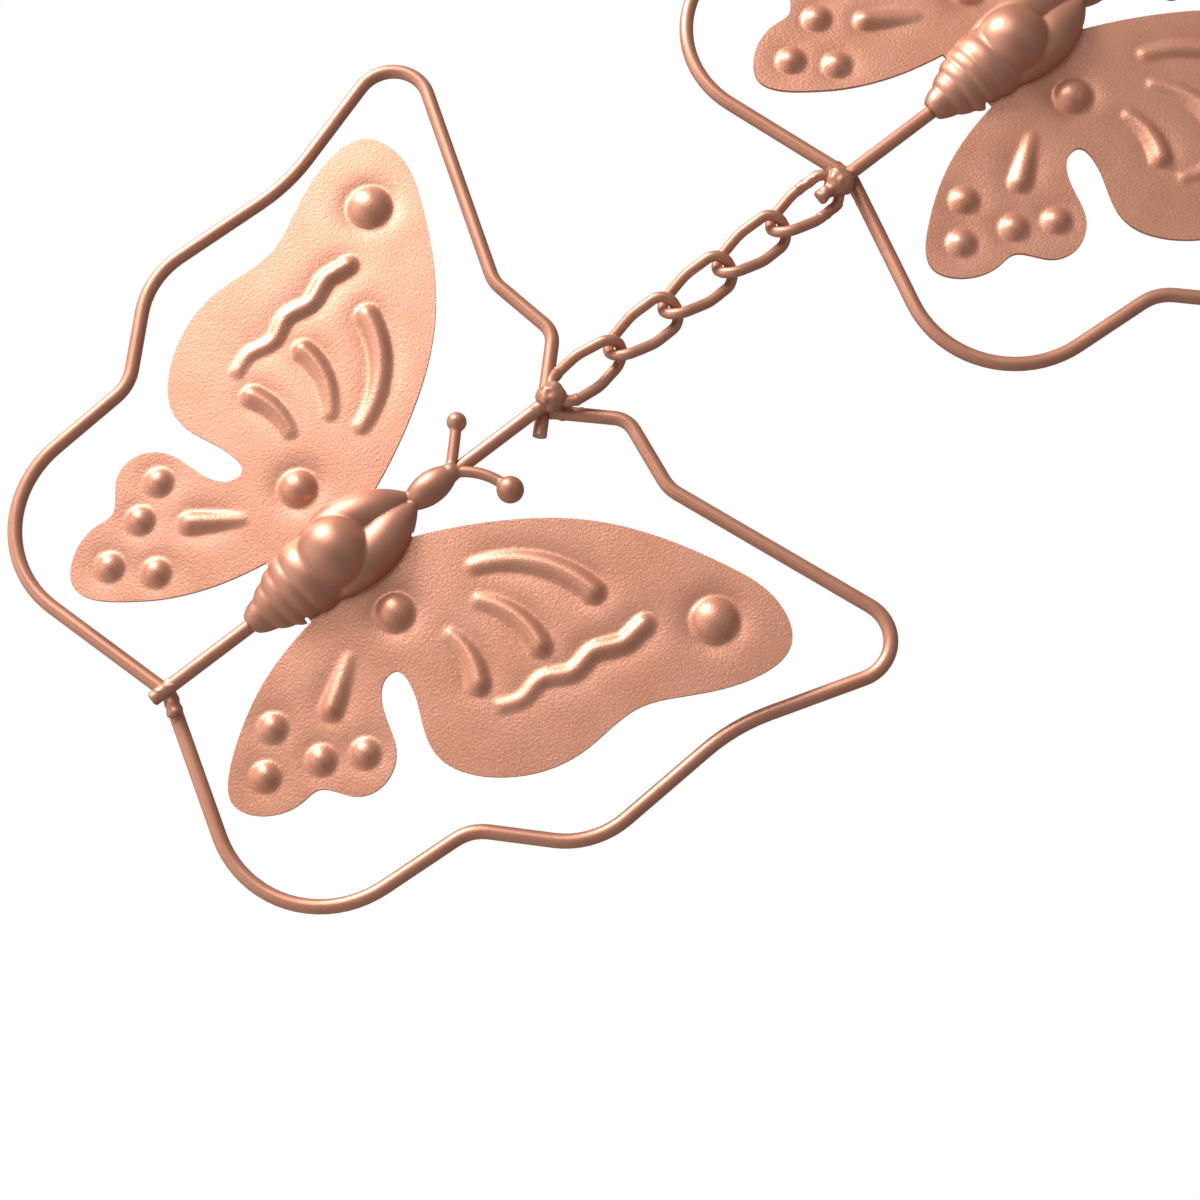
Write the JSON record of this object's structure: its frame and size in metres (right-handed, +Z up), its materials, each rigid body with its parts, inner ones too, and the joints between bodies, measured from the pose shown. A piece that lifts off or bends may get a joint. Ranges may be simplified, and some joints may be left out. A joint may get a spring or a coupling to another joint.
{
  "type": "rain chain",
  "caption": "Copper-painted rain chain section: butterfly figures bent from wire and pressed sheet, joined by twisted wire links under a hanging ring.",
  "frame": {"origin": "inside top of the hanging ring, where the ring bears on its hook", "axes": "+Z up along the hanging chain, +X across the butterflies to the right as seen from their embossed front, -Y towards the embossed front"},
  "size_m": [0.1744, 0.0224, 0.3756],
  "materials": {
    "copper_paint": "satin"
  },
  "bodies": {
    "ring": {"hanging_ring": "copper_paint"},
    "top_link_1": {"top_link_1": "copper_paint"},
    "top_link_2": {"top_link_2": "copper_paint"},
    "top_link_3": {"top_link_3": "copper_paint"},
    "upper_butterfly": {"upper_frame_wire": "copper_paint", "upper_stem_rod": "copper_paint", "upper_wing_sheet": "copper_paint", "upper_body_casting": "copper_paint", "upper_head_link": "copper_paint", "upper_head_weld": "copper_paint", "upper_tail_link": "copper_paint", "upper_tail_weld": "copper_paint"},
    "middle_link_1": {"middle_link_1": "copper_paint"},
    "middle_link_2": {"middle_link_2": "copper_paint"},
    "middle_link_3": {"middle_link_3": "copper_paint"},
    "lower_butterfly": {"lower_frame_wire": "copper_paint", "lower_stem_rod": "copper_paint", "lower_wing_sheet": "copper_paint", "lower_body_casting": "copper_paint", "lower_head_link": "copper_paint", "lower_head_weld": "copper_paint", "lower_tail_weld": "copper_paint"}
  },
  "joints": [
    {"name": "top_link_1_swing", "type": "hinge", "parent": "ring", "child": "top_link_1", "pos_m": [0, 0, -0.0255], "axis": [0.7071, -0.7071, 0], "range_deg": [-70, 70]},
    {"name": "top_link_2_swing", "type": "hinge", "parent": "top_link_1", "child": "top_link_2", "pos_m": [0, 0, -0.03715], "axis": [0.7071, 0.7071, 0], "range_deg": [-70, 70]},
    {"name": "top_link_3_swing", "type": "hinge", "parent": "top_link_2", "child": "top_link_3", "pos_m": [0, 0, -0.05415], "axis": [0.7071, -0.7071, 0], "range_deg": [-70, 70]},
    {"name": "upper_butterfly_swing", "type": "hinge", "parent": "top_link_3", "child": "upper_butterfly", "pos_m": [0, 0, -0.06615], "axis": [0.342, 0.9397, 0], "range_deg": [-70, 70]},
    {"name": "middle_link_1_swing", "type": "hinge", "parent": "upper_butterfly", "child": "middle_link_1", "pos_m": [0, 0, -0.2041], "axis": [0.7071, -0.7071, 0], "range_deg": [-70, 70]},
    {"name": "middle_link_2_swing", "type": "hinge", "parent": "middle_link_1", "child": "middle_link_2", "pos_m": [0, 0, -0.2161], "axis": [0.7071, 0.7071, 0], "range_deg": [-70, 65]},
    {"name": "middle_link_3_swing", "type": "hinge", "parent": "middle_link_2", "child": "middle_link_3", "pos_m": [0, 0, -0.2331], "axis": [0.7071, -0.7071, 0], "range_deg": [-70, 70]},
    {"name": "lower_butterfly_swing", "type": "hinge", "parent": "middle_link_3", "child": "lower_butterfly", "pos_m": [0, 0, -0.2451], "axis": [0.342, 0.9397, 0], "range_deg": [-70, 70]}
  ]
}
